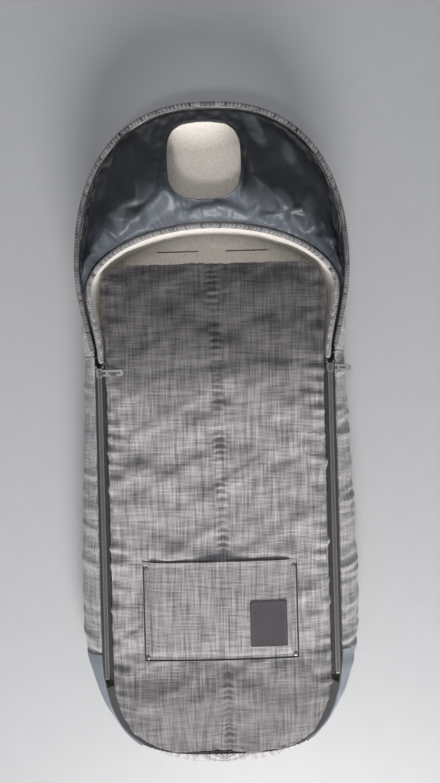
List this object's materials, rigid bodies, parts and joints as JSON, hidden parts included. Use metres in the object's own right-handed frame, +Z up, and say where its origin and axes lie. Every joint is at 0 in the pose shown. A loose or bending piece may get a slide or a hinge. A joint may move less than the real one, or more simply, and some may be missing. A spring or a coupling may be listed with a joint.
{
  "type": "stroller footmuff",
  "caption": "Padded stroller footmuff with a deep tub, a zipped front cover with patch pocket, a fold-down top flap and a tall head end under a satin sheet with a round-cornered hole.",
  "frame": {"origin": "on the floor, below the middle of the footmuff", "axes": "+Y to the head end, +Z up from the floor, +X to the right of the picture"},
  "size_m": [0.4388, 1.016, 0.1242],
  "materials": {
    "melange": "grey melange woven cloth, matte",
    "lining": "off-white fleece pile",
    "wadding": "white polyester wadding",
    "satin": "dark slate-blue satin nylon, glossy",
    "nylon": "smooth blue-grey coated nylon",
    "tape": "black woven tape",
    "teeth": "grey moulded teeth",
    "gunmetal": "dark plated metal",
    "leather": "dark grey synthetic leather",
    "magnet": "plated disc magnets, sewn in"
  },
  "bodies": {
    "tub": {"back_shell": "nylon", "back_wadding": "wadding", "back_lining": "lining", "head_wall": "melange", "toe_wall": "melange", "boot_lining": "lining", "left_side_wall": "melange", "right_side_wall": "melange", "left_boot_gusset": "nylon", "right_boot_gusset": "nylon", "left_side_lining": "lining", "right_side_lining": "lining", "collar_lining": "lining", "collar_band": "melange", "satin_sheet": "satin", "hole_hem": "satin", "head_binding": "melange", "toe_tape": "tape", "toe_cloth": "melange", "toe_wadding": "wadding", "toe_lining": "lining", "left_tub_tape": "tape", "right_tub_tape": "tape", "left_tub_teeth": "teeth", "right_tub_teeth": "teeth", "left_tub_top_stop": "gunmetal", "right_tub_top_stop": "gunmetal", "left_bottom_stop": "gunmetal", "right_bottom_stop": "gunmetal"},
    "cover": {"cover_cloth": "melange", "cover_wadding": "wadding", "cover_lining": "lining", "left_cover_magnet": "magnet", "right_cover_magnet": "magnet", "pocket_panel": "melange", "pocket_welt": "tape", "left_upper_rivet": "gunmetal", "left_lower_rivet": "gunmetal", "right_upper_rivet": "gunmetal", "right_lower_rivet": "gunmetal", "label": "leather", "left_cover_tape": "tape", "right_cover_tape": "tape", "left_cover_teeth": "teeth", "right_cover_teeth": "teeth", "left_cover_top_stop": "gunmetal", "right_cover_top_stop": "gunmetal"},
    "cover_flap": {"flap_cloth": "melange", "flap_wadding": "wadding", "flap_lining": "lining", "left_flap_magnet": "magnet", "right_flap_magnet": "magnet"},
    "left_slide_body": {"left_slider": "gunmetal"},
    "right_slide_body": {"right_slider": "gunmetal"},
    "left_link_body": {"left_pull_link": "gunmetal"},
    "right_link_body": {"right_pull_link": "gunmetal"},
    "left_pull_body": {"left_pull": "gunmetal"},
    "right_pull_body": {"right_pull": "gunmetal"}
  },
  "joints": [
    {"name": "cover_hinge", "type": "hinge", "parent": "tub", "child": "cover", "pos_m": [0, -0.358, 0.0955], "axis": [1, 0, 0], "range_deg": [0, 175], "deforming": ["left_cover_teeth", "right_cover_teeth", "left_cover_tape", "right_cover_tape"]},
    {"name": "flap_hinge", "type": "hinge", "parent": "cover", "child": "cover_flap", "pos_m": [0, 0.131, 0.0955], "axis": [1, 0, 0], "range_deg": [0, 178]},
    {"name": "left_zip_slide", "type": "slide", "parent": "tub", "child": "left_slide_body", "axis": [0, -1, 0], "range_m": [0, 0.453], "deforming": ["left_tub_teeth"]},
    {"name": "right_zip_slide", "type": "slide", "parent": "tub", "child": "right_slide_body", "axis": [0, -1, 0], "range_m": [0, 0.453], "deforming": ["right_tub_teeth"]},
    {"name": "left_link_hinge", "type": "hinge", "parent": "left_slide_body", "child": "left_link_body", "pos_m": [-0.175, 0.11695, 0.084], "axis": [0, -1, 0], "range_deg": [0, 90]},
    {"name": "right_link_hinge", "type": "hinge", "parent": "right_slide_body", "child": "right_link_body", "pos_m": [0.175, 0.11695, 0.084], "axis": [0, -1, 0], "range_deg": [0, 90]},
    {"name": "left_pull_hinge", "type": "hinge", "parent": "left_link_body", "child": "left_pull_body", "pos_m": [-0.16663, 0.11695, 0.08548], "axis": [0, -1, 0], "range_deg": [0, 85]},
    {"name": "right_pull_hinge", "type": "hinge", "parent": "right_link_body", "child": "right_pull_body", "pos_m": [0.1832, 0.11695, 0.08176], "axis": [0, -1, 0], "range_deg": [0, 85]}
  ],
  "couplings": [
    {"joint": "left_zip_slide", "follows": "cover_hinge", "m_per_rad": 0.1483},
    {"joint": "right_zip_slide", "follows": "cover_hinge", "m_per_rad": 0.1483}
  ]
}
